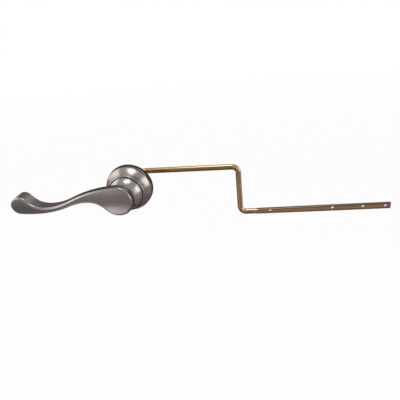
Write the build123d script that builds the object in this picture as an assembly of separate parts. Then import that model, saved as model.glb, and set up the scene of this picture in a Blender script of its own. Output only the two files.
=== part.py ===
from build123d import *
import math
import os

# Cistern lever: a front-mount flush lever with a wave-shaped handle and a bent brass arm.
# X runs along the arm, Y runs into the cistern, Z is up. The origin is on the spindle axis
# at the outer face of the cistern wall. Millimetres. Depths in front of the wall are
# given as distances from it and get their minus sign where they are used.

# Cistern wall that the lever is clamped on
WALL_THICKNESS = 8.0

# Clearances
RUNNING_CLEARANCE = 0.05
SEAT_CLEARANCE = 0.04
BODY_GAP = 0.35

# Gasket and escutcheon, counted forward from the wall
GASKET_THICKNESS = 3.0
GASKET_RADIUS = 20.3
ESCUTCHEON_RADIUS = 20.0
ESCUTCHEON_HEIGHT = 12.7
ESCUTCHEON_BAND = 1.5
ESCUTCHEON_WALL = 1.9
SHOULDER_RADIUS = 7.0
SHOULDER_TURN = 30.0
LIP_RADIUS = 0.9
LIP_CORNER_RADIUS = 0.2
RECESS_DEPTH = 2.7
BOSS_RADIUS = 13.2
DOME_FRONT = GASKET_THICKNESS + ESCUTCHEON_HEIGHT
RECESS_FLOOR = DOME_FRONT - RECESS_DEPTH

# Threaded shank, washer and nut
SHANK_SQUARE = 15.9
SHANK_SQUARE_END = 6.0
SHANK_THREAD_DIAMETER = 15.9
SHANK_SPARE = 1.8
SHANK_CHAMFER = 0.9
FLANGE_RADIUS = 12.3
FLANGE_THICKNESS = 2.0
WASHER_RADIUS = 15.0
WASHER_THICKNESS = 2.0
NUT_ACROSS_FLATS = 22.0
NUT_THICKNESS = 6.0
NUT_CHAMFER_ANGLE = 30.0
NUT_FRONT = WALL_THICKNESS + WASHER_THICKNESS
SHANK_END = NUT_FRONT + NUT_THICKNESS + SHANK_SPARE
FLANGE_FRONT = RECESS_FLOOR + FLANGE_THICKNESS

# Spindle, its washers and its clip
SPINDLE_DIAMETER = 9.5
SPINDLE_CHAMFER = 0.6
SPINDLE_SQUARE = 6.7
SPINDLE_SQUARE_LENGTH = 10.0
SPINDLE_TAIL = 11.0
THRUST_WASHER_RADIUS = 9.0
THRUST_WASHER_THICKNESS = 0.5
CLIP_WASHER_RADIUS = 7.6
CLIP_WASHER_THICKNESS = 0.8
CLIP_RADIUS = 7.2
CLIP_THICKNESS = 1.0
CLIP_GROOVE_DIAMETER = 7.2
CLIP_RELIEF_RADIUS = 1.5
CLIP_RELIEF_ANGLES = (35.0, 145.0)
CLIP_FRONT = SHANK_END + CLIP_WASHER_THICKNESS + BODY_GAP
CLIP_BACK = CLIP_FRONT + CLIP_THICKNESS
SPINDLE_END = CLIP_BACK + SPINDLE_TAIL

# Ball hub behind the paddle; the ball's centre lies behind the hub's back face
HUB_RADIUS = 15.0
HUB_SINK = 2.7
HUB_NECK_RADIUS = 9.0
HUB_BACK = FLANGE_FRONT + THRUST_WASHER_THICKNESS + BODY_GAP
HUB_CENTRE = HUB_BACK - HUB_SINK
HUB_BACK_RADIUS = math.sqrt(HUB_RADIUS ** 2 - HUB_SINK ** 2)

# Handle depths
HANDLE_HEIGHT = 17.55
PADDLE_DEPTH = 8.8
TIP_DEPTH = 14.2
TAPER_END = 25.0
TAPER_BLEND_RADIUS = 160.0
CROWN_RADIUS = 60.0
FRONT_EDGE_RADIUS = 1.5
BACK_EDGE_RADIUS = 0.8
HANDLE_FRONT = HUB_BACK + HANDLE_HEIGHT

# Handle outline, seen from the front, X and Z from the spindle axis
PADDLE_RADIUS = 12.4
PADDLE_SIDE_OFFSET = 2.8
PADDLE_DROP = 0.5
TIP_RADIUS = 7.6
TIP_REACH = 86.7
TIP_DROP = 0.5
VALLEY_REACH = 65.0
VALLEY_DEPTH = 3.1
RISE_REACH = 37.5
RISE_HEIGHT = 4.6
BELLY_REACH = 76.0
BELLY_DEPTH = 8.7
NECK_REACH = 50.0
NECK_DEPTH = 4.9
ARCH_REACH = 28.5
ARCH_HEIGHT = 0.0
TIP_TOP_ANGLE = 40.0
TIP_BOTTOM_ANGLE = 260.0
PADDLE_TOP_ANGLE = 93.0
PADDLE_BOTTOM_ANGLE = 220.0

# Grub screws
SCREW_DIAMETER = 4.0
SCREW_SOCKET = 2.0
SCREW_SOCKET_DEPTH = 2.0
SCREW_CHAMFER = 0.4
HANDLE_SCREW_LENGTH = 8.0
ARM_SCREW_LENGTH = 5.0

# Arm: a rod that leaves the spindle's end, bends along X, drops and runs out to a flat tail
ROD_DIAMETER = 5.3
BEND_RADIUS = 5.8
ROD_SOCKET_DEPTH = 10.5
ARM_RUN = 93.5
ARM_DROP = 46.8
DROP_LEAN = 0.7
ARM_TAIL = 139.8
FLAT_START = 13.4
FLAT_RAMP = 4.0
FLAT_FIRST_THICKNESS = 4.3
FLAT_FIRST_HEIGHT = 5.5
FLAT_THICKNESS = 3.3
FLAT_HEIGHT = 6.3
FLAT_EDGE_CROWN = 0.6
SHEAR_LENGTH = 2.6
SHEAR_DEPTH = 0.7
CHAIN_HOLE_DIAMETER = 3.2
FIRST_HOLE_FROM_FLAT = 11.3
LAST_HOLES_FROM_END = (52.6, 24.7, 4.4)
ARM_DEPTH = SPINDLE_END + BODY_GAP + BEND_RADIUS


def bar(section, front, back):
    """Extrude a section, drawn on X and Z, along the spindle axis between two depths."""
    return extrude(Plane.XZ.offset(-back) * section, back - front)


def ring(outer, inner, front, back):
    """Plain washer on the spindle axis."""
    return bar(Circle(outer) - Circle(inner), front, back)


def turned(profile):
    """Solid of revolution about the spindle axis; the profile has radius as X and depth as Y."""
    return revolve(make_face(profile), Axis.Y)


def polar(centre, radius, degrees):
    """Point on a circle at an angle from X."""
    turn = math.radians(degrees)
    return (centre[0] + radius * math.cos(turn), centre[1] + radius * math.sin(turn))


def heading(degrees):
    """Unit direction of travel at an angle on a circle, with the angle growing."""
    turn = math.radians(degrees)
    return (-math.sin(turn), math.cos(turn))


def screw_way():
    """Hole for a grub screw, from the spindle axis downwards."""
    return extrude(Circle(SCREW_DIAMETER / 2 + SEAT_CLEARANCE), -HUB_RADIUS)


def handle_outline():
    """Front outline of the casting: paddle arc, wave top, tip arc and wave underside."""
    paddle = (-PADDLE_SIDE_OFFSET, -PADDLE_DROP)
    tip = (-TIP_REACH, -TIP_DROP)
    crest = polar(paddle, PADDLE_RADIUS, PADDLE_TOP_ANGLE)
    tip_top = polar(tip, TIP_RADIUS, TIP_TOP_ANGLE)
    tip_bottom = polar(tip, TIP_RADIUS, TIP_BOTTOM_ANGLE)
    heel = polar(paddle, PADDLE_RADIUS, PADDLE_BOTTOM_ANGLE)
    valley = (-VALLEY_REACH, -VALLEY_DEPTH)
    rise = (-RISE_REACH, RISE_HEIGHT)
    belly = (-BELLY_REACH, -BELLY_DEPTH)
    neck = (-NECK_REACH, -NECK_DEPTH)
    arch = (-ARCH_REACH, ARCH_HEIGHT)
    left = (-1, 0)
    right = (1, 0)
    sweep_round = 360 - PADDLE_BOTTOM_ANGLE + PADDLE_TOP_ANGLE
    edges = CenterArc(paddle, PADDLE_RADIUS, PADDLE_BOTTOM_ANGLE, sweep_round)
    edges += Spline(crest, rise, valley, tangents=(heading(PADDLE_TOP_ANGLE), left))
    edges += Spline(valley, tip_top, tangents=(left, heading(TIP_TOP_ANGLE)))
    edges += CenterArc(tip, TIP_RADIUS, TIP_TOP_ANGLE, TIP_BOTTOM_ANGLE - TIP_TOP_ANGLE)
    edges += Spline(tip_bottom, belly, tangents=(heading(TIP_BOTTOM_ANGLE), right))
    edges += Spline(belly, neck, arch, tangents=(right, right))
    edges += Spline(arch, heel, tangents=(right, heading(PADDLE_BOTTOM_ANGLE)))
    return make_face(edges)


def ribbon():
    """Wave-shaped lever: tapered in depth, crowned in front and rounded on both edges."""
    tip_end = TIP_REACH + TIP_RADIUS
    paddle_back = PADDLE_DEPTH - HANDLE_FRONT
    tip_back = TIP_DEPTH - HANDLE_FRONT
    blank = bar(handle_outline(), -HANDLE_FRONT, max(tip_back, paddle_back))
    relief = FilletPolyline(
        (-tip_end, tip_back),
        (-TAPER_END, paddle_back),
        (PADDLE_RADIUS, paddle_back),
        radius=TAPER_BLEND_RADIUS,
    )
    relief += Polyline(
        (PADDLE_RADIUS, paddle_back),
        (PADDLE_RADIUS, 0),
        (-tip_end, 0),
        (-tip_end, tip_back),
    )
    blank -= extrude(make_face(relief), tip_end, both=True)
    crown = Cylinder(CROWN_RADIUS, 2 * tip_end, rotation=(0, 90, 0))
    blank &= Pos(0, CROWN_RADIUS - HANDLE_FRONT, 0) * crown
    front_face = blank.faces().sort_by(Axis.Y)[0]
    blank = fillet(front_face.outer_wire().edges(), FRONT_EDGE_RADIUS)
    back_faces = blank.faces().filter_by(lambda face: face.normal_at().Y > 0.9)
    back_edges = back_faces.edges().filter_by(Axis.Z, reverse=True)
    return fillet(back_edges, BACK_EDGE_RADIUS)


def lever_handle():
    """One casting: the ribbon with its paddle, and the ball hub that takes the spindle."""
    back_turn = math.degrees(math.asin(HUB_SINK / HUB_RADIUS))
    neck_turn = math.degrees(math.acos(HUB_NECK_RADIUS / HUB_RADIUS))
    neck_front = HANDLE_FRONT - PADDLE_DEPTH / 2
    ball = CenterArc((0, -HUB_CENTRE), HUB_RADIUS, -back_turn, back_turn - neck_turn)
    core = Polyline(
        ball @ 1,
        (HUB_NECK_RADIUS, -neck_front),
        (0, -neck_front),
        (0, -HUB_BACK),
        ball @ 0,
    )
    casting = ribbon() + turned(ball + core)
    socket = SPINDLE_SQUARE + 2 * SEAT_CLEARANCE
    socket_end = HUB_BACK + SPINDLE_SQUARE_LENGTH + BODY_GAP
    casting -= bar(Rectangle(socket, socket), -socket_end, -HUB_BACK)
    return casting - Pos(0, -HUB_BACK - SPINDLE_SQUARE_LENGTH / 2) * screw_way()


def handle_set_screw():
    """Grub screw up through the hub on to the spindle's square."""
    place = HUB_BACK + SPINDLE_SQUARE_LENGTH / 2
    return Pos(0, -place, -SPINDLE_SQUARE / 2) * grub_screw(HANDLE_SCREW_LENGTH)


def escutcheon():
    """Bell-shaped flange: rim band, round shoulder, flare, rolled lip and the shank's recess."""
    lip_inner = HUB_BACK_RADIUS + RUNNING_CLEARANCE
    lip_crest = lip_inner + LIP_CORNER_RADIUS
    lip_front = -DOME_FRONT - LIP_RADIUS + LIP_CORNER_RADIUS
    rim_inner = ESCUTCHEON_RADIUS - ESCUTCHEON_WALL
    band_front = -GASKET_THICKNESS - ESCUTCHEON_BAND
    ceiling = ESCUTCHEON_WALL - RECESS_FLOOR

    shoulder = (ESCUTCHEON_RADIUS - SHOULDER_RADIUS, band_front)
    outside = CenterArc(shoulder, SHOULDER_RADIUS, 0, -SHOULDER_TURN)
    inside = CenterArc(shoulder, SHOULDER_RADIUS - ESCUTCHEON_WALL, 0, -SHOULDER_TURN)
    lip = CenterArc((lip_crest, -DOME_FRONT), LIP_RADIUS, 0, -90)
    corner = CenterArc((lip_crest, lip_front), LIP_CORNER_RADIUS, -90, -90)
    flare = TangentArc(outside @ 1, lip @ 0, tangent=outside % 1)
    cavity_side = inside @ 1
    slope = math.tan(math.radians(SHOULDER_TURN))
    ceiling_edge = cavity_side.X - (cavity_side.Y - ceiling) * slope

    section = Polyline(
        (rim_inner, band_front),
        (rim_inner, -GASKET_THICKNESS),
        (ESCUTCHEON_RADIUS, -GASKET_THICKNESS),
        (ESCUTCHEON_RADIUS, band_front),
    )
    section += outside + flare + lip + corner
    section += Polyline(
        corner @ 1,
        (lip_inner, -RECESS_FLOOR),
        (0, -RECESS_FLOOR),
        (0, -GASKET_THICKNESS),
        (BOSS_RADIUS, -GASKET_THICKNESS),
        (BOSS_RADIUS, ceiling),
        (ceiling_edge, ceiling),
        cavity_side,
    )
    section += inside
    square = SHANK_SQUARE + 2 * SEAT_CLEARANCE
    return turned(section) - bar(Rectangle(square, square), -RECESS_FLOOR, -GASKET_THICKNESS)


def wall_gasket():
    """Flat rubber ring between the escutcheon and the cistern wall."""
    hole = SHANK_SQUARE / math.sqrt(2) + BODY_GAP
    return ring(GASKET_RADIUS, hole, -GASKET_THICKNESS, 0)


def threaded_shank():
    """Bush with a round flange, a square shoulder and a threaded end."""
    bush = bar(Circle(FLANGE_RADIUS), -FLANGE_FRONT, -RECESS_FLOOR)
    bush += bar(Rectangle(SHANK_SQUARE, SHANK_SQUARE), -RECESS_FLOOR, SHANK_SQUARE_END)
    bush += bar(Circle(SHANK_THREAD_DIAMETER / 2), SHANK_SQUARE_END, SHANK_END)
    bush = chamfer(bush.faces().sort_by(Axis.Y)[-1].outer_wire().edges(), SHANK_CHAMFER)
    bore = SPINDLE_DIAMETER / 2 + RUNNING_CLEARANCE
    return bush - bar(Circle(bore), -FLANGE_FRONT, SHANK_END)


def thrust_washer():
    """Nylon washer between the shank's flange and the hub."""
    hole = SPINDLE_DIAMETER / 2 + BODY_GAP
    front = FLANGE_FRONT + THRUST_WASHER_THICKNESS
    return ring(THRUST_WASHER_RADIUS, hole, -front, -FLANGE_FRONT)


def tank_washer():
    """Washer against the inside of the cistern wall."""
    hole = SHANK_THREAD_DIAMETER / 2 + BODY_GAP
    return ring(WASHER_RADIUS, hole, WALL_THICKNESS, NUT_FRONT)


def lock_nut():
    """Hexagon nut with both faces chamfered round."""
    back = NUT_FRONT + NUT_THICKNESS
    flats = NUT_ACROSS_FLATS / 2
    corner = flats / math.cos(math.pi / 6)
    fall = (corner - flats) * math.tan(math.radians(NUT_CHAMFER_ANGLE))
    crown = turned(
        Polyline(
            (0, NUT_FRONT),
            (flats, NUT_FRONT),
            (corner, NUT_FRONT + fall),
            (corner, back - fall),
            (flats, back),
            (0, back),
            close=True,
        )
    )
    hexagon = bar(RegularPolygon(flats, 6, major_radius=False), NUT_FRONT, back)
    bore = SHANK_THREAD_DIAMETER / 2 + SEAT_CLEARANCE
    return (hexagon & crown) - bar(Circle(bore), NUT_FRONT, back)


def spindle():
    """Round bar with a square front end, a clip groove and a socket for the arm."""
    rod = bar(Circle(SPINDLE_DIAMETER / 2), -HUB_BACK, SPINDLE_END)
    rod = chamfer(rod.faces().sort_by(Axis.Y)[-1].edges(), SPINDLE_CHAMFER)
    square = Rectangle(SPINDLE_SQUARE, SPINDLE_SQUARE)
    rod += bar(square, -HUB_BACK - SPINDLE_SQUARE_LENGTH, -HUB_BACK)
    rod -= ring(
        SPINDLE_DIAMETER,
        CLIP_GROOVE_DIAMETER / 2,
        CLIP_FRONT - SEAT_CLEARANCE,
        CLIP_BACK + SEAT_CLEARANCE,
    )
    socket = Circle(ROD_DIAMETER / 2 + SEAT_CLEARANCE)
    rod -= bar(socket, SPINDLE_END - ROD_SOCKET_DEPTH, SPINDLE_END)
    return rod - Pos(0, SPINDLE_END - SPINDLE_TAIL / 2) * screw_way()


def clip_washer():
    """Nylon washer between the shank's end and the clip."""
    hole = SPINDLE_DIAMETER / 2 + BODY_GAP
    return ring(CLIP_WASHER_RADIUS, hole, SHANK_END, SHANK_END + CLIP_WASHER_THICKNESS)


def retaining_clip():
    """E-clip with three prongs that bear on the groove's floor."""
    bore = CLIP_GROOVE_DIAMETER / 2 + SEAT_CLEARANCE
    section = Circle(CLIP_RADIUS) - Circle(bore)
    section -= Pos(0, -CLIP_RADIUS) * Rectangle(2 * bore, 2 * CLIP_RADIUS)
    for degrees in CLIP_RELIEF_ANGLES:
        place = polar((0, 0), bore, degrees)
        section -= Pos(*place) * Circle(CLIP_RELIEF_RADIUS)
    return bar(section, CLIP_FRONT, CLIP_BACK)


def grub_screw(length):
    """Grub screw that hangs from the origin by its tip, with its socket at the bottom."""
    screw = extrude(Circle(SCREW_DIAMETER / 2), -length)
    screw = chamfer(screw.edges().filter_by(GeomType.CIRCLE), SCREW_CHAMFER)
    socket = RegularPolygon(SCREW_SOCKET / 2, 6, major_radius=False)
    return screw - extrude(Plane.XY.offset(-length) * socket, SCREW_SOCKET_DEPTH)


def arm_set_screw():
    """Grub screw up through the spindle's end that clamps the arm."""
    place = SPINDLE_END - SPINDLE_TAIL / 2
    return Pos(0, place, -ROD_DIAMETER / 2) * grub_screw(ARM_SCREW_LENGTH)


def tail_plane(place):
    """Plane across the tail at a distance from the drop; its X is depth and its Y is up."""
    return Plane(origin=(place, 0, 0), x_dir=(0, 1, 0), z_dir=(1, 0, 0))


def round_section():
    """Rod section as four arcs, to match the flat section's four edges."""
    radius = ROD_DIAMETER / 2
    edges = CenterArc((0, 0), radius, -45, 90)
    edges += CenterArc((0, 0), radius, 45, 90)
    edges += CenterArc((0, 0), radius, 135, 90)
    edges += CenterArc((0, 0), radius, 225, 90)
    return make_face(edges)


def flat_section(thickness, height):
    """Pressed section: two flat sides with crowned edges."""
    half = thickness / 2
    top = height / 2
    corner = top - FLAT_EDGE_CROWN
    edges = Line((half, -corner), (half, corner))
    edges += ThreePointArc((half, corner), (0, top), (-half, corner))
    edges += Line((-half, corner), (-half, -corner))
    edges += ThreePointArc((-half, -corner), (0, -top), (half, -corner))
    return make_face(edges)


def flat_tail():
    """Tail along X from the drop: pressed flat, sheared at its end and drilled for the chain."""
    flat_end = FLAT_START + FLAT_RAMP
    holes = [flat_end + FIRST_HOLE_FROM_FLAT]
    holes += [ARM_TAIL - inset for inset in LAST_HOLES_FROM_END]
    first_flat = flat_section(FLAT_FIRST_THICKNESS, FLAT_FIRST_HEIGHT)
    full_flat = flat_section(FLAT_THICKNESS, FLAT_HEIGHT)
    ramp = loft([tail_plane(FLAT_START) * round_section(), tail_plane(flat_end) * first_flat])
    blade = loft(
        [
            tail_plane(flat_end) * first_flat,
            tail_plane(holes[1]) * full_flat,
            tail_plane(ARM_TAIL) * full_flat,
        ],
        ruled=True,
    )
    tail = ramp + blade
    front = -FLAT_THICKNESS / 2
    shear = Polyline(
        (ARM_TAIL - SHEAR_LENGTH, front),
        (ARM_TAIL, front + SHEAR_DEPTH),
        (ARM_TAIL + SHEAR_LENGTH, front),
        close=True,
    )
    tail -= extrude(make_face(shear), FLAT_HEIGHT, both=True)
    for place in holes:
        tail -= bar(Pos(place, 0) * Circle(CHAIN_HOLE_DIAMETER / 2), -ROD_DIAMETER, ROD_DIAMETER)
    return tail


def lever_arm():
    """One brass rod: clamped in the spindle, bent three times and pressed flat along its tail."""
    lean = math.radians(DROP_LEAN)
    foot_across = ARM_RUN + ARM_DROP * math.sin(lean)
    foot_height = -ARM_DROP * math.cos(lean)
    tail_across = foot_across + FLAT_START * math.cos(lean)
    tail_height = foot_height + FLAT_START * math.sin(lean)
    tip = SPINDLE_END - ROD_SOCKET_DEPTH + BODY_GAP
    route = FilletPolyline(
        (0, tip, 0),
        (0, ARM_DEPTH, 0),
        (ARM_RUN, ARM_DEPTH, 0),
        (foot_across, ARM_DEPTH, foot_height),
        (tail_across, ARM_DEPTH, tail_height),
        radius=BEND_RADIUS,
    )
    start = Plane(origin=route @ 0, z_dir=route % 0)
    rod = sweep(start * Circle(ROD_DIAMETER / 2), route)
    foot = Pos(foot_across, ARM_DEPTH, foot_height) * Rot(0, -DROP_LEAN, 0)
    return rod + foot * flat_tail()


PIECES = {
    "lever_handle": lever_handle,
    "handle_set_screw": handle_set_screw,
    "escutcheon": escutcheon,
    "wall_gasket": wall_gasket,
    "threaded_shank": threaded_shank,
    "thrust_washer": thrust_washer,
    "tank_washer": tank_washer,
    "lock_nut": lock_nut,
    "spindle": spindle,
    "clip_washer": clip_washer,
    "retaining_clip": retaining_clip,
    "lever_arm": lever_arm,
    "arm_set_screw": arm_set_screw,
}

os.makedirs("parts", exist_ok=True)
for name, make in PIECES.items():
    export_step(make(), os.path.join("parts", name + ".step"))
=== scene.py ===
"""Cistern lever in satin nickel and drawn brass, dressed for a plain studio picture."""

import logging
import math
from contextlib import contextmanager
from dataclasses import dataclass
from enum import Enum
from typing import Any, Iterator, Optional

import bmesh
import bpy
from mathutils import Matrix, Vector


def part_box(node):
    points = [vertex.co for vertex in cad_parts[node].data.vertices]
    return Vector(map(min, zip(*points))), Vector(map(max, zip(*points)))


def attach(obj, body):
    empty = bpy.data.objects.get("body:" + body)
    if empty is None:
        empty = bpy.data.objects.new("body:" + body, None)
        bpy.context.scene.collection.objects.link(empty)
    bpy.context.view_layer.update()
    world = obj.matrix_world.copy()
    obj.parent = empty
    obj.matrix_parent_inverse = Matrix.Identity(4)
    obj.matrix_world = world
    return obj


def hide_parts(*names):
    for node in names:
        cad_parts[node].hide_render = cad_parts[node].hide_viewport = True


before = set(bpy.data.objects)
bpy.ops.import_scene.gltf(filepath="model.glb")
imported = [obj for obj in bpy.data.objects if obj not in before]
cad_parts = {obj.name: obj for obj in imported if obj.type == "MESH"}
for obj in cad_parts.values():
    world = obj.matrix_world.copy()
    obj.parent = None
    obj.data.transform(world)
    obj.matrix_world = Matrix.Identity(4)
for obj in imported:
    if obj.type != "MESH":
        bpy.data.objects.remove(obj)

Material = bpy.types.Material
Node = bpy.types.Node
Piece = bpy.types.Object
Socket = bpy.types.NodeSocket
Tree = bpy.types.NodeTree

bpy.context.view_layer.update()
MM = 0.001

# Sides of a round piece, and steps of a rounded corner and of a softened edge.
ROUND_SIDES = 96
CORNER_STEPS = 4
EDGE_STEPS = 2

# The turn that counts as an edge, the distance in millimetres that counts as one point,
# and how squarely an end face looks along the spindle.
SMOOTH_ANGLE = math.radians(32)
MERGE_DISTANCE = 0.001
FACING = 0.9

# Sockets of the Mix node by number, because its values and colours share their names.
FACTOR = 0
VALUE_A = 2
VALUE_B = 3
COLOUR_A = 6
COLOUR_B = 7
MIXED_VALUE = 0
MIXED_COLOUR = 2

# Length of one wave of the Wave texture at a scale of one.
WAVE_LENGTH = math.tau / 20

# The sRGB curve: straight up to its limit, and a power from there on.
SRGB_LIMIT = 0.04045
SRGB_SLOPE = 12.92
SRGB_LIFT = 0.055
SRGB_POWER = 2.4
WHITE = "#ffffff"

logging.basicConfig(level=logging.INFO, format="%(message)s")
log = logging.getLogger("cistern_lever")


class Body(Enum):
    """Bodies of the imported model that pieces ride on."""

    MOUNT = "mount"
    LEVER = "lever"


class Slot(Enum):
    """Material slots of the record, each named with a new ring; the rings take their finish
    from the palette.
    """

    GASKET = "black_rubber"
    WASHER = "washer_rubber"
    NYLON = "white_nylon"
    SHANK = "shank_brass"
    NUT = "nut_brass"


class Detail(Enum):
    """How many finer layers a noise pattern has."""

    SOFT = 2.0
    MIDDLE = 3.0
    CRISP = 4.0


class Way(Enum):
    """Ways along the spindle axis: out of the cistern and into it."""

    OUT = -1
    IN = 1


class Operation(Enum):
    """What a tool does to the piece that it is combined with."""

    JOIN = "UNION"
    CUT = "DIFFERENCE"
    TRIM = "INTERSECT"


def linear(colour: str) -> tuple[float, float, float, float]:
    """Turn an sRGB hex colour into linear light.

    Args:
        colour: Six hex digits with a leading hash.

    Returns:
        Red, green, blue and alpha as linear values.
    """
    channels = [int(colour[place:place + 2], 16) / 255 for place in (1, 3, 5)]
    red, green, blue = (
        c / SRGB_SLOPE if c <= SRGB_LIMIT else ((c + SRGB_LIFT) / (1 + SRGB_LIFT)) ** SRGB_POWER
        for c in channels
    )
    return (red, green, blue, 1.0)


def per_metre(size: float) -> float:
    """Scale of a pattern whose feature has a given size in millimetres."""
    return 1.0 / (size * MM)


def add_node(
    tree: Tree,
    kind: str,
    settings: Optional[dict[Any, Any]] = None,
    links: Optional[dict[Any, Socket]] = None,
) -> Node:
    """Add one node with its settings and its incoming links.

    Args:
        tree: Node tree that takes the node.
        kind: Blender's identifier of the node type.
        settings: Node properties, or input sockets by name or number, with their values.
        links: Input sockets by name or number, with the output sockets that feed them.

    Returns:
        The new node.
    """
    node = tree.nodes.new(kind)
    for name, value in (settings or {}).items():
        if isinstance(name, str) and hasattr(node, name):
            setattr(node, name, value)
        else:
            node.inputs[name].default_value = value
    for name, source in (links or {}).items():
        tree.links.new(source, node.inputs[name])
    return node


@dataclass(frozen=True)
class Finish:
    """A surface finish: its name, its two tones and what all finishes share."""

    name: str
    light_tone: str
    deep_tone: str

    def material(self) -> Material:
        """Make the material and let the finish dress it.

        Returns:
            The finished material.
        """
        material = bpy.data.materials.new(self.name)
        material.use_nodes = True
        tree = material.node_tree
        place = add_node(tree, "ShaderNodeTexCoord").outputs["Object"]
        self.dress(tree, tree.nodes["Principled BSDF"], place)
        return material

    def dress(self, tree: Tree, shader: Node, place: Socket) -> None:
        """Set the shader's sockets and add the patterns that feed it.

        Args:
            tree: Node tree of the material.
            shader: Its Principled shader.
            place: Place on the piece.
        """
        raise NotImplementedError


@dataclass(frozen=True)
class Metal(Finish):
    """A metal, which is a little uneven in tone and in gloss."""

    roughness: tuple[float, float]

    def vary(self, tree: Tree, shader: Node, tone: Socket, gloss: Socket) -> Socket:
        """Make the shader a metal whose tone and gloss follow two patterns.

        Args:
            tree: Node tree of the material.
            shader: Its Principled shader.
            tone: Pattern that goes from the light tone to the deep one.
            gloss: Pattern that goes from the smoothest parts to the roughest.

        Returns:
            Socket with the uneven tone, which feeds the shader.
        """
        smoothest, roughest = self.roughness
        colour = add_node(
            tree,
            "ShaderNodeMix",
            {
                "data_type": "RGBA",
                COLOUR_A: linear(self.light_tone),
                COLOUR_B: linear(self.deep_tone),
            },
            {FACTOR: tone},
        )
        rough = add_node(
            tree,
            "ShaderNodeMapRange",
            {"To Min": smoothest, "To Max": roughest},
            {"Value": gloss},
        )
        shader.inputs["Metallic"].default_value = 1.0
        tree.links.new(colour.outputs[MIXED_COLOUR], shader.inputs["Base Color"])
        tree.links.new(rough.outputs["Result"], shader.inputs["Roughness"])
        return colour.outputs[MIXED_COLOUR]


@dataclass(frozen=True)
class SatinNickel(Metal):
    """Satin nickel plate on a zinc casting.

    Fine blasting under the plate gives wide soft highlights on a warm grey metal. The plate
    is a little uneven in tone over a finger's width, and it darkens at a glancing angle. The
    blasted grain is drawn several times as coarse as the real one, to show.
    """

    name: str = "satin_nickel_plate"
    light_tone: str = "#8f8986"
    deep_tone: str = "#837d7a"
    roughness: tuple[float, float] = (0.20, 0.25)
    edge_tint: str = "#b2aaa8"
    tone_size: float = 14.0
    grain_size: float = 0.45
    grain_height: float = 0.004
    grain_strength: float = 0.4

    def dress(self, tree: Tree, shader: Node, place: Socket) -> None:
        """Dress the shader as satin plate.

        Args:
            tree: Node tree of the material.
            shader: Its Principled shader.
            place: Place on the piece.
        """
        tone, grain = (
            add_node(
                tree,
                "ShaderNodeTexNoise",
                {"Scale": per_metre(size), "Detail": detail.value},
                {"Vector": place},
            ).outputs["Fac"]
            for size, detail in (
                (self.tone_size, Detail.SOFT),
                (self.grain_size, Detail.MIDDLE),
            )
        )
        bump = add_node(
            tree,
            "ShaderNodeBump",
            {"Strength": self.grain_strength, "Distance": self.grain_height * MM},
            {"Height": grain},
        )
        self.vary(tree, shader, tone, grain)
        shader.inputs["Specular Tint"].default_value = linear(self.edge_tint)
        tree.links.new(bump.outputs["Normal"], shader.inputs["Normal"])


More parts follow.
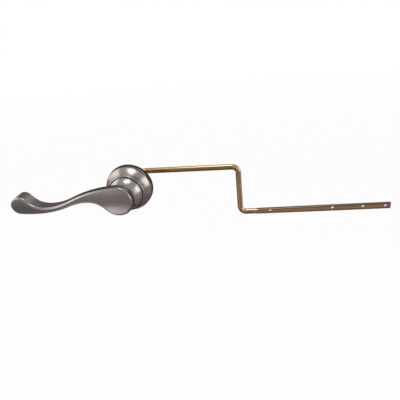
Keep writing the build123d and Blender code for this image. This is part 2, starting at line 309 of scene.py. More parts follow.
@dataclass(frozen=True)
class DrawnBrass(Metal):
    """Drawn brass rod under a thin clear lacquer, slightly dulled.

    The die leaves fine lines along the rod: along X on the run and the tail, along Z on the
    drop. The tail is browner than the run, with an uneven patina. Its two long pressed edges
    are painted darker, as painted shade that dulls their reflections, and the last stretch at
    the end is painted dull grey, as painted shade. The lines are drawn several times as wide
    as the real ones, to show.
    """

    name: str = "drawn_brass_rod"
    light_tone: str = "#a88851"
    deep_tone: str = "#8c7040"
    roughness: tuple[float, float] = (0.16, 0.26)
    tail_light: str = "#b48b60"
    tail_deep: str = "#9b7752"
    patina_tone: str = "#80633a"
    edge_shade_tone: str = "#59422a"
    end_shade_tone: str = "#57504a"
    patina_size: float = 26.0
    patina_range: tuple[float, float] = (0.4, 0.6)
    patina_share: float = 0.5
    line_width: float = 0.6
    line_length: float = 22.0
    line_height: float = 0.006
    line_strength: float = 0.5
    # Heights between which the rod drops, and where along X its tone changes, the last of these
    # where dark grey is painted as shade at the arm's end.
    drop_top: float = -4.0
    drop_foot: float = -42.0
    tail_start: tuple[float, float] = (84.0, 94.0)
    flat_start: tuple[float, float] = (107.5, 111.5)
    end_shade_start: tuple[float, float] = (231.2, 232.0)
    # The pressed flat's middle line, and how far off it the painted edge shade lies.
    flat_slope: float = 0.0122
    flat_level: float = -47.75
    edge_shade_start: tuple[float, float] = (0.7, 2.2)
    lacquer: float = 1.0
    lacquer_roughness: float = 0.12

    def die_lines(self, tree: Tree, place: Socket, height: Socket) -> Socket:
        """Draw the die's lines along the rod, on its drop and elsewhere.

        Args:
            tree: Node tree of the material.
            place: Place on the rod.
            height: Height of that place.

        Returns:
            Socket with the lines.
        """
        fine = per_metre(self.line_width)
        long = per_metre(self.line_length)
        lines = []
        for stretch in ((long, fine, fine), (fine, fine, long)):
            along = add_node(tree, "ShaderNodeMapping", {"Scale": stretch}, {"Vector": place})
            noise = add_node(
                tree,
                "ShaderNodeTexNoise",
                {"Scale": 1.0, "Detail": Detail.MIDDLE.value},
                {"Vector": along.outputs["Vector"]},
            )
            lines.append(noise.outputs["Fac"])
        below, above = (
            add_node(tree, "ShaderNodeMath", {"operation": test, 1: limit * MM}, {0: height})
            for test, limit in (("LESS_THAN", self.drop_top), ("GREATER_THAN", self.drop_foot))
        )
        on_drop = add_node(
            tree,
            "ShaderNodeMath",
            {"operation": "MULTIPLY"},
            {0: below.outputs[0], 1: above.outputs[0]},
        )
        line = add_node(
            tree,
            "ShaderNodeMix",
            None,
            {FACTOR: on_drop.outputs[0], VALUE_A: lines[0], VALUE_B: lines[1]},
        )
        return line.outputs[MIXED_VALUE]

    def tail_tone(self, tree: Tree, place: Socket, line: Socket) -> Socket:
        """Colour the tail, browner than the run and stained by patina.

        Args:
            tree: Node tree of the material.
            place: Place on the rod.
            line: The die's lines.

        Returns:
            Socket with the tail's colour.
        """
        bare = add_node(
            tree,
            "ShaderNodeMix",
            {
                "data_type": "RGBA",
                COLOUR_A: linear(self.tail_light),
                COLOUR_B: linear(self.tail_deep),
            },
            {FACTOR: line},
        )
        patina = add_node(
            tree,
            "ShaderNodeTexNoise",
            {"Scale": per_metre(self.patina_size), "Detail": Detail.SOFT.value},
            {"Vector": place},
        )
        clear, stained = self.patina_range
        stain = add_node(
            tree,
            "ShaderNodeMapRange",
            {"From Min": clear, "From Max": stained, "To Max": self.patina_share},
            {"Value": patina.outputs["Fac"]},
        )
        tail = add_node(
            tree,
            "ShaderNodeMix",
            {"data_type": "RGBA", COLOUR_B: linear(self.patina_tone)},
            {FACTOR: stain.outputs["Result"], COLOUR_A: bare.outputs[MIXED_COLOUR]},
        )
        return tail.outputs[MIXED_COLOUR]

    def shaded_edges(self, tree: Tree, axes: Node, on_flat: Socket) -> Socket:
        """Mark the two long edges of the pressed tail, where a dark tone is painted in as
        shade.

        Args:
            tree: Node tree of the material.
            axes: Node that gives the place on each axis.
            on_flat: Socket that is one on the pressed flat.

        Returns:
            Socket that is one on the edges and nought elsewhere.
        """
        lean = add_node(
            tree,
            "ShaderNodeMath",
            {"operation": "MULTIPLY_ADD", 1: -self.flat_slope},
            {0: axes.outputs["X"], 2: axes.outputs["Z"]},
        )
        rise = add_node(
            tree,
            "ShaderNodeMath",
            {"operation": "SUBTRACT", 1: self.flat_level * MM},
            {0: lean.outputs[0]},
        )
        off_middle = add_node(
            tree, "ShaderNodeMath", {"operation": "ABSOLUTE"}, {0: rise.outputs[0]}
        )
        start, end = self.edge_shade_start
        near_shaded_edge = add_node(
            tree,
            "ShaderNodeMapRange",
            {"From Min": start * MM, "From Max": end * MM},
            {"Value": off_middle.outputs[0]},
        )
        edge = add_node(
            tree,
            "ShaderNodeMath",
            {"operation": "MULTIPLY"},
            {0: near_shaded_edge.outputs["Result"], 1: on_flat},
        )
        return edge.outputs[0]

    def dress(self, tree: Tree, shader: Node, place: Socket) -> None:
        """Dress the shader as drawn rod.

        Args:
            tree: Node tree of the material.
            shader: Its Principled shader.
            place: Place on the rod.
        """
        axes = add_node(tree, "ShaderNodeSeparateXYZ", None, {"Vector": place})
        line = self.die_lines(tree, place, axes.outputs["Z"])
        on_tail, on_flat, on_end_shade = (
            add_node(
                tree,
                "ShaderNodeMapRange",
                {"From Min": start * MM, "From Max": end * MM},
                {"Value": axes.outputs["X"]},
            ).outputs["Result"]
            for start, end in (self.tail_start, self.flat_start, self.end_shade_start)
        )
        colour = add_node(
            tree,
            "ShaderNodeMix",
            {"data_type": "RGBA"},
            {
                FACTOR: on_tail,
                COLOUR_A: self.vary(tree, shader, line, line),
                COLOUR_B: self.tail_tone(tree, place, line),
            },
        )
        on_shaded_edge = self.shaded_edges(tree, axes, on_flat)
        # Painted shade: a dark tone on the pressed tail's edges, and dark grey on the arm's
        # last stretch.
        for tone, cover in ((self.edge_shade_tone, on_shaded_edge), (self.end_shade_tone, on_end_shade)):
            colour = add_node(
                tree,
                "ShaderNodeMix",
                {"data_type": "RGBA", COLOUR_B: linear(tone)},
                {FACTOR: cover, COLOUR_A: colour.outputs[MIXED_COLOUR]},
            )
        bump = add_node(
            tree,
            "ShaderNodeBump",
            {"Strength": self.line_strength, "Distance": self.line_height * MM},
            {"Height": line},
        )
        shader.inputs["Coat Weight"].default_value = self.lacquer
        shader.inputs["Coat Roughness"].default_value = self.lacquer_roughness
        tree.links.new(colour.outputs[MIXED_COLOUR], shader.inputs["Base Color"])
        tree.links.new(bump.outputs["Normal"], shader.inputs["Normal"])


@dataclass(frozen=True)
class TurnedBrass(Metal):
    """Brass turned on a lathe.

    The tool's feed leaves fine rings round the axis, on the sides and on the end faces. Real
    feed marks are about a tenth of a millimetre apart and are drawn coarser here, to show.
    """

    name: str = "turned_brass"
    light_tone: str = "#b6965a"
    deep_tone: str = "#9a7a46"
    roughness: tuple[float, float] = (0.22, 0.36)
    feed: float = 0.45
    mark_height: float = 0.008
    mark_strength: float = 0.35
    stain_size: float = 5.0

    def dress(self, tree: Tree, shader: Node, place: Socket) -> None:
        """Dress the shader as turned bar.

        Args:
            tree: Node tree of the material.
            shader: Its Principled shader.
            place: Place on the piece.
        """
        scale = WAVE_LENGTH * per_metre(self.feed)
        sides, faces = (
            add_node(
                tree,
                "ShaderNodeTexWave",
                {"wave_type": shape, direction: "Y", "Scale": scale},
                {"Vector": place},
            )
            for shape, direction in (("BANDS", "bands_direction"), ("RINGS", "rings_direction"))
        )
        marks = add_node(
            tree,
            "ShaderNodeMath",
            {"operation": "MULTIPLY"},
            {0: sides.outputs["Fac"], 1: faces.outputs["Fac"]},
        )
        stain = add_node(
            tree,
            "ShaderNodeTexNoise",
            {"Scale": per_metre(self.stain_size), "Detail": Detail.CRISP.value},
            {"Vector": place},
        )
        bump = add_node(
            tree,
            "ShaderNodeBump",
            {"Strength": self.mark_strength, "Distance": self.mark_height * MM},
            {"Height": marks.outputs[0]},
        )
        self.vary(tree, shader, stain.outputs["Fac"], stain.outputs["Fac"])
        tree.links.new(bump.outputs["Normal"], shader.inputs["Normal"])


@dataclass(frozen=True)
class PlatedSteel(Metal):
    """Steel with a thin bright or oiled coat, for small hardware.

    Tumbling in the bath leaves a faint mottle in tone and gloss.
    """

    name: str = "zinc_plated_steel"
    light_tone: str = "#b4b7ba"
    deep_tone: str = "#93979b"
    roughness: tuple[float, float] = (0.24, 0.38)
    mottle_size: float = 1.2

    def dress(self, tree: Tree, shader: Node, place: Socket) -> None:
        """Dress the shader as plated steel.

        Args:
            tree: Node tree of the material.
            shader: Its Principled shader.
            place: Place on the piece.
        """
        mottle = add_node(
            tree,
            "ShaderNodeTexNoise",
            {"Scale": per_metre(self.mottle_size), "Detail": Detail.CRISP.value},
            {"Vector": place},
        )
        self.vary(tree, shader, mottle.outputs["Fac"], mottle.outputs["Fac"])


@dataclass(frozen=True)
class Moulding(Finish):
    """A moulded surface: one roughness all over, and a tone with faint clouds in it."""

    cloud_size: float
    roughness: float

    def dress(self, tree: Tree, shader: Node, place: Socket) -> None:
        """Dress the shader with clouds of the two tones.

        Args:
            tree: Node tree of the material.
            shader: Its Principled shader.
            place: Place on the piece.
        """
        cloud = add_node(
            tree,
            "ShaderNodeTexNoise",
            {"Scale": per_metre(self.cloud_size), "Detail": Detail.MIDDLE.value},
            {"Vector": place},
        )
        colour = add_node(
            tree,
            "ShaderNodeMix",
            {
                "data_type": "RGBA",
                COLOUR_A: linear(self.light_tone),
                COLOUR_B: linear(self.deep_tone),
            },
            {FACTOR: cloud.outputs["Fac"]},
        )
        shader.inputs["Roughness"].default_value = self.roughness
        tree.links.new(colour.outputs[MIXED_COLOUR], shader.inputs["Base Color"])


@dataclass(frozen=True)
class MouldedRubber(Moulding):
    """Moulded rubber: matte, with a faint grey bloom and a fine skin from the mould.

    The skin is drawn coarser than the real one, to show.
    """

    name: str = "moulded_black_rubber"
    light_tone: str = "#121010"
    deep_tone: str = "#080707"
    cloud_size: float = 3.0
    roughness: float = 0.68
    gloss: float = 0.25
    skin_size: float = 0.4
    skin_height: float = 0.02
    skin_strength: float = 0.4

    def dress(self, tree: Tree, shader: Node, place: Socket) -> None:
        """Dress the shader as moulded rubber.

        Args:
            tree: Node tree of the material.
            shader: Its Principled shader.
            place: Place on the piece.
        """
        super().dress(tree, shader, place)
        skin = add_node(
            tree,
            "ShaderNodeTexNoise",
            {"Scale": per_metre(self.skin_size), "Detail": Detail.SOFT.value},
            {"Vector": place},
        )
        bump = add_node(
            tree,
            "ShaderNodeBump",
            {"Strength": self.skin_strength, "Distance": self.skin_height * MM},
            {"Height": skin.outputs["Fac"]},
        )
        shader.inputs["Specular IOR Level"].default_value = self.gloss
        tree.links.new(bump.outputs["Normal"], shader.inputs["Normal"])


@dataclass(frozen=True)
class NaturalNylon(Moulding):
    """Moulded natural nylon: a milky ivory that lets a little light in, with a soft sheen."""

    name: str = "moulded_natural_nylon"
    light_tone: str = "#e9e5d8"
    deep_tone: str = "#d9d3c2"
    cloud_size: float = 4.0
    roughness: float = 0.42
    milkiness: float = 0.2
    depth: float = 0.6

    def dress(self, tree: Tree, shader: Node, place: Socket) -> None:
        """Dress the shader as moulded nylon.

        Args:
            tree: Node tree of the material.
            shader: Its Principled shader.
            place: Place on the piece.
        """
        super().dress(tree, shader, place)
        shader.inputs["Subsurface Weight"].default_value = self.milkiness
        shader.inputs["Subsurface Scale"].default_value = self.depth * MM


def deselect() -> None:
    """Deselect every object."""
    bpy.ops.object.select_all(action="DESELECT")


def pick(piece: Piece) -> None:
    """Select one piece alone and make it the active one.

    Args:
        piece: The piece.
    """
    deselect()
    bpy.context.view_layer.objects.active = piece
    piece.select_set(True)


@contextmanager
def editing(piece: Piece) -> Iterator[None]:
    """Hold a piece in edit mode while a block of code shapes it.

    Args:
        piece: The piece.

    Yields:
        Nothing, while the block runs.
    """
    pick(piece)
    bpy.ops.object.mode_set(mode="EDIT")
    yield
    bpy.ops.object.mode_set(mode="OBJECT")


def settle(piece: Piece, name: str) -> None:
    """Name a piece, which is active, and put its place, turn and size into its mesh."""
    piece.name = name
    bpy.ops.object.transform_apply(location=True, rotation=True, scale=True)


def apply_modifier(piece: Piece, modifier: bpy.types.Modifier) -> None:
    """Make a modifier's result the mesh of its piece."""
    pick(piece)
    bpy.ops.object.modifier_apply(modifier=modifier.name)


def select_ends(piece: Piece, *ways: Way) -> None:
    """Select the end faces of a piece in edit mode.

    Args:
        piece: The piece.
        ways: Ways along the spindle axis that the wanted faces look.
    """
    bpy.ops.mesh.select_mode(type="FACE")
    bpy.ops.mesh.select_all(action="DESELECT")
    cage = bmesh.from_edit_mesh(piece.data)
    for face in cage.faces:
        face.select_set(any(face.normal.y * way.value > FACING for way in ways))
    bmesh.update_edit_mesh(piece.data)


def close_mesh() -> None:
    """Merge the seams of the mesh in edit mode and point its faces outwards."""
    bpy.ops.mesh.select_all(action="SELECT")
    bpy.ops.mesh.remove_doubles(threshold=MERGE_DISTANCE * MM)
    bpy.ops.mesh.normals_make_consistent(inside=False)


def round_bar(
    name: str, radius: float, front: float, back: float, sides: int = ROUND_SIDES
) -> Piece:
    """Start a piece as a bar along the spindle axis.

    Args:
        name: Name of the piece.
        radius: Radius of its corners in millimetres.
        front: Depth where it starts, in millimetres.
        back: Depth where it ends, in millimetres.
        sides: Number of sides.

    Returns:
        The bar.
    """
    deselect()
    bpy.ops.mesh.primitive_cylinder_add(
        vertices=sides,
        radius=radius * MM,
        depth=(back - front) * MM,
        location=(0, (front + back) / 2 * MM, 0),
        rotation=(math.pi / 2, 0, 0),
    )
    piece = bpy.context.object
    settle(piece, name)
    return piece


def combine(piece: Piece, tool: Piece, operation: Operation) -> None:
    """Join, cut or trim a piece with another, which is used up.

    Args:
        piece: The piece that stays.
        tool: The piece that is used up.
        operation: What the tool does to the piece.
    """
    modifier = piece.modifiers.new(tool.name, "BOOLEAN")
    modifier.operation = operation.value
    modifier.solver = "EXACT"
    modifier.object = tool
    apply_modifier(piece, modifier)
    bpy.data.objects.remove(tool)


def soften(piece: Piece, width: float) -> None:
    """Round the sharp edges of a piece.

    Args:
        piece: The piece.
        width: Width of the rounding in millimetres.
    """
    modifier = piece.modifiers.new("edges", "BEVEL")
    modifier.width = width * MM
    modifier.segments = EDGE_STEPS
    modifier.limit_method = "ANGLE"
    modifier.angle_limit = SMOOTH_ANGLE
    apply_modifier(piece, modifier)


def box_of(node: str) -> tuple[Vector, Vector]:
    """Lowest and highest corners of a CAD node in millimetres."""
    low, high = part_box(node)
    return low / MM, high / MM


def dress_node(name: str, material: Material) -> None:
    """Give a CAD node its material.

    Args:
        name: The node.
        material: What its surface is made of.
    """
    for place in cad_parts[name].material_slots:
        place.material = material
    log.info("dressed %s with %s", name, material.name)


def hand_over(piece: Piece, node: str, body: Body, material: Material) -> None:
    """Finish a new piece: its shading, its material, its body and the node it stands for.

    Args:
        piece: The piece.
        node: CAD node that it replaces.
        body: Body that it rides on.
        material: What its surface is made of.
    """
    pick(piece)
    bpy.ops.object.shade_smooth_by_angle(angle=SMOOTH_ANGLE)
    piece.data.materials.clear()
    piece.data.materials.append(material)
    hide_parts(node)
    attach(piece, body.value)
    log.info("built %s for %s, %d faces", piece.name, node, len(piece.data.polygons))


@dataclass
class Palette:
    """The materials of the whole lever, each made once."""

    nickel: Material
    rod: Material
    turned: Material
    zinc: Material
    spring: Material
    black_rubber: Material
    grey_rubber: Material
    nylon: Material

    @classmethod
    def mixed(cls) -> "Palette":
        """Make every material of the lever.

        Returns:
            The palette.
        """
        oiled_spring = PlatedSteel(
            name="oiled_spring_steel",
            light_tone="#6f7072",
            deep_tone="#55565a",
            mottle_size=2.0,
        )
        grey_rubber = MouldedRubber(
            name="moulded_grey_rubber", light_tone="#34312f", deep_tone="#242120"
        )
        return cls(
            nickel=SatinNickel().material(),
            rod=DrawnBrass().material(),
            turned=TurnedBrass().material(),
            zinc=PlatedSteel().material(),
            spring=oiled_spring.material(),
            black_rubber=MouldedRubber().material(),
            grey_rubber=grey_rubber.material(),
            nylon=NaturalNylon().material(),
        )


@dataclass(frozen=True)
class FlatRing:
    """A washer or gasket: a flat ring round the spindle axis with rounded corners."""

    name: str
    node: str
    slot: Slot
    hole: float
    corner: float
    body: Body = Body.MOUNT

    def build(self, material: Material) -> None:
        """Model the ring in its node's box by spinning its section.

        Args:
            material: What its surface is made of.
        """
        low, high = box_of(self.node)
        deselect()
        middle = ((self.hole + high.x) / 2 * MM, (low.y + high.y) / 2 * MM, 0)
        bpy.ops.mesh.primitive_plane_add(size=1.0, location=middle)
        ring = bpy.context.object
        ring.scale = ((high.x - self.hole) * MM, (high.y - low.y) * MM, 1.0)
        settle(ring, self.name)
        with editing(ring):
            bpy.ops.mesh.select_all(action="SELECT")
            bpy.ops.mesh.bevel(
                offset=self.corner * MM, segments=CORNER_STEPS, affect="VERTICES"
            )
            bpy.ops.mesh.select_all(action="SELECT")
            bpy.ops.mesh.delete(type="ONLY_FACE")
            bpy.ops.mesh.select_all(action="SELECT")
            bpy.ops.mesh.spin(
                steps=ROUND_SIDES, angle=math.tau, center=(0, 0, 0), axis=(0, 1, 0)
            )
            close_mesh()
        hand_over(ring, self.node, self.body, material)


@dataclass
class HandleCasting:
    """Wave-shaped handle with its hub, and the grub screw under the hub."""

    body: Body = Body.LEVER
    casting: str = "lever_handle"
    screw: str = "handle_set_screw"

    def build(self, palette: Palette) -> None:
        """Dress the casting and its screw with the lever's materials."""
        dress_node(self.casting, palette.nickel)
        dress_node(self.screw, palette.zinc)


@dataclass
class WallFlange:
    """Bell-shaped flange and the rubber gasket behind it."""

    body: Body = Body.MOUNT
    flange: str = "escutcheon"
    gasket: FlatRing = FlatRing(
        "rubber_gasket", "wall_gasket", Slot.GASKET, hole=11.6, corner=0.6
    )

    def build(self, palette: Palette) -> None:
        """Dress the flange with the lever's materials and model its gasket."""
        dress_node(self.flange, palette.nickel)
        self.gasket.build(palette.black_rubber)


@dataclass
class ClampingShank:
    """Threaded shank with its flange, the washers on it and its lock nut."""

    body: Body = Body.MOUNT
    shank: str = "threaded_shank"
    nut: str = "lock_nut"
    tank_washer: FlatRing = FlatRing(
        "rubber_tank_washer", "tank_washer", Slot.WASHER, hole=8.3, corner=0.5
    )
    thrust_washer: FlatRing = FlatRing(
        "nylon_thrust_washer", "thrust_washer", Slot.NYLON, hole=5.1, corner=0.12
    )
    flange_thickness: float = 2.0
    flange_edge: float = 0.4
    flange_edge_steps: int = 3
    square: float = 15.9
    square_end: float = 6.0
    square_edge: float = 0.5
    thread_diameter: float = 15.9
    thread_pitch: float = 2.0
    thread_depth: float = 0.9
    thread_crest: float = 0.35
    thread_root: float = 1.8
    thread_bite: float = 0.1
    thread_trim: float = 0.02
    section_corners: int = 4
    spare_turns: int = 2
    # The step and side counts share no factor, so no edges coincide in the booleans.
    thread_steps: int = 64
    core_sides: int = 89
    limit_sides: int = 83
    end_chamfer: float = 0.9
    bore: float = 4.8
    overlap: float = 1.0
    nut_sides: int = 6
    nut_bore: float = 7.99
    nut_face: float = 10.75
    nut_slope: float = 0.577
    nut_edge: float = 0.3

    def thread_section(self, depth: float) -> Piece:
        """Model the section of the thread's ridge, wide at its root and narrow at its crest.

        Args:
            depth: Depth of its middle, in millimetres.

        Returns:
            The section, a flat piece with four corners.
        """
        crest = self.thread_diameter / 2
        root = crest - self.thread_depth - self.thread_bite
        middle = (crest + root) / 2 * MM
        flare = (self.thread_root - self.thread_crest) / self.thread_depth
        width = self.thread_crest + flare * (crest - root)
        deselect()
        bpy.ops.mesh.primitive_plane_add(size=1.0, location=(middle, depth * MM, 0))
        section = bpy.context.object
        section.scale = ((crest - root) * MM, width * MM, 1.0)
        settle(section, "thread_ridge")
        with editing(section):
            bpy.ops.mesh.select_mode(type="VERT")
            bpy.ops.mesh.select_all(action="DESELECT")
            cage = bmesh.from_edit_mesh(section.data)
            for corner in cage.verts:
                corner.select_set(corner.co.x > middle)
            bmesh.update_edit_mesh(section.data)
            bpy.ops.transform.resize(
                value=(1.0, self.thread_crest / width, 1.0),
                center_override=(crest * MM, depth * MM, 0),
            )
        return section

    def thread_ridge(self, front: float, back: float) -> Piece:
        """Model the left-hand thread's ridge as a section turned along a helix.

        Args:
            front: Depth where the thread starts, in millimetres.
            back: Depth where it ends, in millimetres.

        Returns:
            The ridge, which runs past both ends.
        """
        ridge = self.thread_section(back + self.thread_pitch)
        turns = math.ceil((back - front) / self.thread_pitch) + self.spare_turns
        helix = ridge.modifiers.new("helix", "SCREW")
        helix.axis = "Y"
        helix.angle = math.tau
        helix.screw_offset = -self.thread_pitch * MM
        helix.iterations = turns
        helix.steps = self.thread_steps
        helix.render_steps = self.thread_steps
        apply_modifier(ridge, helix)
        with editing(ridge):
            bpy.ops.mesh.select_all(action="SELECT")
            bpy.ops.mesh.fill_holes(sides=self.section_corners)
            close_mesh()
        return ridge

    def threaded_end(self, front: float, back: float) -> Piece:
        """Model the round end of the shank with its thread and its end chamfer.

        Args:
            front: Depth where the thread starts, in millimetres.
            back: Depth of the shank's end, in millimetres.

        Returns:
            The threaded end.
        """
        crest = self.thread_diameter / 2
        end = round_bar(
            "threaded_end",
            crest - self.thread_depth,
            front - self.overlap,
            back,
            sides=self.core_sides,
        )
        ridge = self.thread_ridge(front, back)
        limit = round_bar(
            "thread_limit",
            crest + self.overlap,
            front + self.thread_trim,
            back - self.thread_trim,
            sides=self.limit_sides,
        )
        chamfer = self.end_chamfer + self.overlap + self.thread_trim
        with editing(limit):
            select_ends(limit, Way.IN)
            bpy.ops.mesh.bevel(offset=chamfer * MM, segments=1, affect="EDGES")
        combine(ridge, limit, Operation.TRIM)
        combine(end, ridge, Operation.JOIN)
        return end

    def build_shank(self, palette: Palette) -> None:
        """Model the shank: round flange, square shoulder, threaded end and bore.

        Args:
            palette: The lever's materials.
        """
        low, high = box_of(self.shank)
        flange_back = low.y + self.flange_thickness
        shank = round_bar("left_hand_shank", high.x, low.y, flange_back)
        with editing(shank):
            select_ends(shank, *Way)
            bpy.ops.mesh.bevel(
                offset=self.flange_edge * MM, segments=self.flange_edge_steps, affect="EDGES"
            )
        deselect()
        square_front = flange_back - self.overlap
        bpy.ops.mesh.primitive_cube_add(
            size=1.0, location=(0, (square_front + self.square_end) / 2 * MM, 0)
        )
        shoulder = bpy.context.object
        length = self.square_end - square_front
        shoulder.scale = (self.square * MM, length * MM, self.square * MM)
        settle(shoulder, "square_shoulder")
        soften(shoulder, self.square_edge)
        combine(shank, shoulder, Operation.JOIN)
        combine(shank, self.threaded_end(self.square_end, high.y), Operation.JOIN)
        bore = round_bar("shank_bore", self.bore, low.y - self.overlap, high.y + self.overlap)
        combine(shank, bore, Operation.CUT)
        hand_over(shank, self.shank, self.body, palette.turned)

    def build_nut(self, palette: Palette) -> None:
        """Model the hexagon nut with both faces chamfered round.

        Args:
            palette: The lever's materials.
        """
        low, high = box_of(self.nut)
        front = low.y - self.overlap
        back = high.y + self.overlap
        nut = round_bar("hexagon_lock_nut", high.x, front, back, sides=self.nut_sides)
        # The bar has a corner on top, and the nut has a flat there.
        nut.rotation_euler.y = math.pi / self.nut_sides
        settle(nut, nut.name)
        soften(nut, self.nut_edge)
        reach = high.x + self.overlap
        fall = (reach - self.nut_face) * self.nut_slope
        crown = round_bar(
            "nut_crown", reach, low.y + fall, high.y - fall, sides=self.limit_sides
        )
        with editing(crown):
            for way in Way:
                select_ends(crown, way)
                push = (0, way.value * fall * MM, 0)
                bpy.ops.mesh.extrude_region_move(TRANSFORM_OT_translate={"value": push})
                bpy.ops.transform.resize(
                    value=(self.nut_face / reach, 1.0, self.nut_face / reach),
                    center_override=(0, 0, 0),
                )
        combine(nut, crown, Operation.TRIM)
        combine(nut, round_bar("nut_bore", self.nut_bore, front, back), Operation.CUT)
        hand_over(nut, self.nut, self.body, palette.turned)

    def build(self, palette: Palette) -> None:
        """Model the shank, its nut and the washers on it.

        Args:
            palette: The lever's materials.
        """
        self.build_shank(palette)
        self.build_nut(palette)
        self.tank_washer.build(palette.grey_rubber)
        self.thrust_washer.build(palette.nylon)


@dataclass
class SpindleGroup:
    """Spindle with the clip that keeps it in and the nylon washer under the clip."""

    body: Body = Body.LEVER
    spindle: str = "spindle"
    clip: str = "retaining_clip"
    washer: FlatRing = FlatRing(
        "nylon_clip_washer", "clip_washer", Slot.NYLON, hole=5.1, corner=0.2
    )

    def build(self, palette: Palette) -> None:
        """Dress the spindle and its clip, and model the washer.

        Args:
            palette: The lever's materials.
        """
        dress_node(self.spindle, palette.turned)
        dress_node(self.clip, palette.spring)
        self.washer.build(palette.nylon)


@dataclass
class BentArm:
    """Bent brass arm with its pressed tail, and the grub screw that clamps it."""

    body: Body = Body.LEVER
    arm: str = "lever_arm"
    screw: str = "arm_set_screw"

    def build(self, palette: Palette) -> None:
        """Dress the arm and its screw with the lever's materials."""
        dress_node(self.arm, palette.rod)
        dress_node(self.screw, palette.zinc)


@dataclass(frozen=True)
class Softbox:
    """A soft lamp with a flat front that faces the object, with its sizes in metres."""

    name: str
    direction: tuple[float, float, float]
    distance: float
    width: float
    height: float
    radiance: float

    def build(self) -> None:
        """Hang the lamp and turn it to the object."""
        data = bpy.data.lights.new(self.name, "AREA")
        data.shape = "RECTANGLE"
        data.size = self.width
        data.size_y = self.height
        data.energy = self.radiance * math.pi * self.width * self.height
        lamp = bpy.data.objects.new(self.name, data)
        bpy.context.scene.collection.objects.link(lamp)
        way = Vector(self.direction).normalized()
        lamp.location = way * self.distance
        lamp.rotation_euler = way.to_track_quat("Z", "Y").to_euler()
        lamp.visible_camera = False


@dataclass(frozen=True)
class GreyCard:
    """A grey card that only polished surfaces mirror, as beside any metal in a studio.

    Its corners are in metres. It has a faint warm tint unless it is told otherwise.
    """

    name: str
    low: tuple[float, float, float]
    high: tuple[float, float, float]
    tone: float
    tint: str = "#ffeef0"

    def build(self) -> None:
        """Hang the card flat between its two corners and keep it out of the light."""
        deselect()
        low = Vector(self.low)
        span = Vector(self.high) - low
        upright = span.z > span.y
        bpy.ops.mesh.primitive_plane_add(size=1.0, location=low + span / 2)
        card = bpy.context.object
        card.rotation_euler.x = math.pi / 2 if upright else 0.0
        card.scale = (span.x, span.z if upright else span.y, 1.0)
        settle(card, self.name)
        material = bpy.data.materials.new("grey_studio_card")
        material.use_nodes = True
        tree = material.node_tree
        tree.nodes.clear()
        glow = add_node(
            tree, "ShaderNodeEmission", {"Color": linear(self.tint), "Strength": self.tone}
        )
        add_node(tree, "ShaderNodeOutputMaterial", None, {"Surface": glow.outputs[0]})
        card.data.materials.append(material)
        card.visible_camera = False
        card.visible_diffuse = False
        card.visible_shadow = False
        card.visible_transmission = False


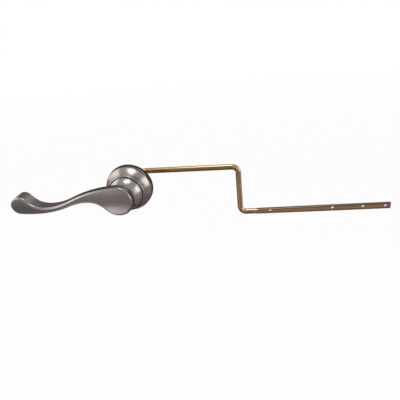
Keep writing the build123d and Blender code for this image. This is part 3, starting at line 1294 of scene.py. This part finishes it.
@dataclass
class Studio:
    """Camera, pale floor, white surroundings, soft lamps and grey cards."""

    # The camera's axes come from the vanishing points of the spindle, the arm and the drop.
    camera_place: tuple[float, float, float] = (102.5, -316.3, 128.8)
    camera_right: tuple[float, float, float] = (0.9920, 0.0948, -0.0840)
    camera_up: tuple[float, float, float] = (0.0367, 0.4198, 0.9070)
    lens: float = 36.0
    sensor: float = 36.0
    clip_start: float = 10.0
    paper_tone: str = "#f4f4f4"
    floor_drop: float = 300.0
    floor_side: float = 12000.0
    floor_glow: float = 0.955
    floor_fade: tuple[float, float] = (500.0, 3000.0)
    fill: float = 0.2
    # Name, direction, distance, width, height and radiance.
    lamps: tuple[Softbox, ...] = (
        Softbox("top_softbox", (0.14, 0.12, 0.98), 0.80, 0.42, 0.50, 1.8),
        Softbox("top_bulb", (0.155, 0.07, 0.985), 0.328, 0.115, 0.13, 5.5),
        Softbox("left_softbox", (-0.853, 0.345, 0.39), 0.80, 0.62, 0.66, 2.2),
        Softbox("front_left_softbox", (-0.79, -0.457, 0.407), 0.80, 0.75, 0.50, 1.8),
        Softbox("front_right_softbox", (0.963, -0.170, 0.208), 0.80, 0.36, 0.40, 1.4),
        Softbox("right_softbox", (0.965, 0.170, 0.20), 0.80, 0.34, 0.46, 2.8),
        Softbox("low_reflector", (-0.369, -0.724, -0.582), 0.352, 0.07, 0.09, 2.1),
    )
    # Name, lowest corner, highest corner, tone and tint.
    cards: tuple[GreyCard, ...] = (
        GreyCard("camera_card", (-0.34, -1.4, -0.26), (0.25, -1.4, 3.6), 0.40, WHITE),
        GreyCard("front_left_card", (-1.3, -1.39, -0.26), (-0.02, -0.62, -0.26), 0.56),
        GreyCard("front_right_card", (-0.02, -1.39, -0.26), (1.1, -0.35, -0.26), 0.50, WHITE),
        GreyCard("tip_card", (-1.3, -0.62, -0.26), (-0.27, 0.89, -0.26), 0.30, WHITE),
        GreyCard("middle_card", (-0.27, -0.62, -0.26), (-0.12, 0.89, -0.26), 0.54),
        GreyCard("run_front_card", (-0.12, -0.62, -0.26), (-0.02, -0.28, -0.26), 0.40),
        GreyCard("run_gap_card", (-0.02, -0.35, -0.26), (0.12, -0.28, -0.26), 0.40),
        GreyCard("run_card", (-0.12, -0.28, -0.26), (0.12, 0.06, -0.26), 0.12, WHITE),
        GreyCard("run_back_card", (-0.12, 0.06, -0.26), (0.12, 0.89, -0.26), 0.50),
        GreyCard("right_card", (0.12, -0.35, -0.26), (0.38, 0.89, -0.26), 0.52),
        GreyCard("far_right_card", (0.38, -0.35, -0.26), (1.1, 0.89, -0.26), 0.80),
        GreyCard("back_left_low_card", (-0.7, 0.9, -0.26), (-0.28, 0.9, 0.30), 0.15, WHITE),
        GreyCard("back_left_card", (-0.7, 0.9, 0.30), (-0.28, 0.9, 1.0), 0.38, WHITE),
        GreyCard("back_low_card", (-0.28, 0.9, -0.26), (0.15, 0.9, 0.42), 0.30),
        GreyCard("back_card", (-0.28, 0.9, 0.42), (0.15, 0.9, 0.95), 0.52, WHITE),
        GreyCard("back_right_low_card", (0.15, 0.9, -0.26), (0.75, 0.9, 0.30), 0.28),
        GreyCard("far_back_right_card", (0.75, 0.9, 0.03), (2.1, 0.9, 0.45), 0.36),
        GreyCard("back_right_card", (0.15, 0.9, 0.70), (1.5, 0.9, 1.6), 0.28, WHITE),
    )

    def build_camera(self) -> None:
        """Stand the camera at the photograph's viewing angle."""
        data = bpy.data.cameras.new("camera")
        data.lens = self.lens
        data.sensor_width = self.sensor
        data.clip_start = self.clip_start * MM
        camera = bpy.data.objects.new("camera", data)
        bpy.context.scene.collection.objects.link(camera)
        right = Vector(self.camera_right).normalized()
        up = Vector(self.camera_up)
        up = (up - right * up.dot(right)).normalized()
        back = right.cross(up)
        turn = Matrix((right, up, back)).transposed().to_4x4()
        camera.matrix_world = Matrix.Translation(Vector(self.camera_place) * MM) @ turn
        bpy.context.scene.camera = camera

    def seen_rays(self, tree: Tree) -> Socket:
        """Light Path test that is one for camera, glossy and transmission rays.

        Args:
            tree: Node tree that takes the test.

        Returns:
            Socket with the result.
        """
        path = add_node(tree, "ShaderNodeLightPath")
        seen = path.outputs["Is Camera Ray"]
        for kind in ("Is Glossy Ray", "Is Transmission Ray"):
            either = add_node(
                tree,
                "ShaderNodeMath",
                {"operation": "MAXIMUM"},
                {0: seen, 1: path.outputs[kind]},
            )
            seen = either.outputs[0]
        return seen

    def build_world(self) -> None:
        """White surroundings that fill the shadows softly."""
        world = bpy.data.worlds.new("studio_white")
        bpy.context.scene.world = world
        world.use_nodes = True
        tree = world.node_tree
        tree.nodes.clear()
        fill, white = (
            add_node(
                tree, "ShaderNodeBackground", {"Color": linear(WHITE), "Strength": strength}
            )
            for strength in (self.fill, 1.0)
        )
        mix = add_node(
            tree,
            "ShaderNodeMixShader",
            None,
            {0: self.seen_rays(tree), 1: fill.outputs[0], 2: white.outputs[0]},
        )
        add_node(tree, "ShaderNodeOutputWorld", None, {"Surface": mix.outputs[0]})

    def white_paper(self) -> Material:
        """Paper that is white to the eye, more so far away, and keeps a soft shadow.

        Returns:
            The paper's material.
        """
        material = bpy.data.materials.new("white_paper")
        material.use_nodes = True
        tree = material.node_tree
        tree.nodes.clear()
        place = add_node(tree, "ShaderNodeTexCoord").outputs["Object"]
        reach = add_node(tree, "ShaderNodeVectorMath", {"operation": "LENGTH"}, {0: place})
        near, far = self.floor_fade
        white = add_node(
            tree,
            "ShaderNodeMapRange",
            {"From Min": near * MM, "From Max": far * MM, "To Min": self.floor_glow},
            {"Value": reach.outputs["Value"]},
        )
        share = add_node(
            tree,
            "ShaderNodeMath",
            {"operation": "MULTIPLY"},
            {0: self.seen_rays(tree), 1: white.outputs["Result"]},
        )
        paper = add_node(tree, "ShaderNodeBsdfDiffuse", {"Color": linear(self.paper_tone)})
        glow = add_node(tree, "ShaderNodeEmission", {"Color": linear(WHITE), "Strength": 1.0})
        mix = add_node(
            tree,
            "ShaderNodeMixShader",
            None,
            {0: share.outputs[0], 1: paper.outputs[0], 2: glow.outputs[0]},
        )
        add_node(tree, "ShaderNodeOutputMaterial", None, {"Surface": mix.outputs[0]})
        return material

    def build_floor(self) -> None:
        """Lay the pale paper floor under the object."""
        deselect()
        side = self.floor_side * MM
        bpy.ops.mesh.primitive_plane_add(size=side, location=(0, 0, -self.floor_drop * MM))
        floor = bpy.context.object
        floor.name = "paper_floor"
        floor.data.materials.append(self.white_paper())

    def build(self) -> None:
        """Build the whole studio."""
        self.build_camera()
        self.build_world()
        self.build_floor()
        for fitting in (*self.lamps, *self.cards):
            fitting.build()
        bpy.context.scene.view_settings.view_transform = "Standard"


def main() -> None:
    """Build and dress each sub-assembly, then the studio."""
    palette = Palette.mixed()
    for assembly in (HandleCasting(), WallFlange(), ClampingShank(), SpindleGroup(), BentArm()):
        assembly.build(palette)
        log.info("finished %s on the %s", type(assembly).__name__, assembly.body.value)
    Studio().build()


if __name__ == "__main__":
    main()
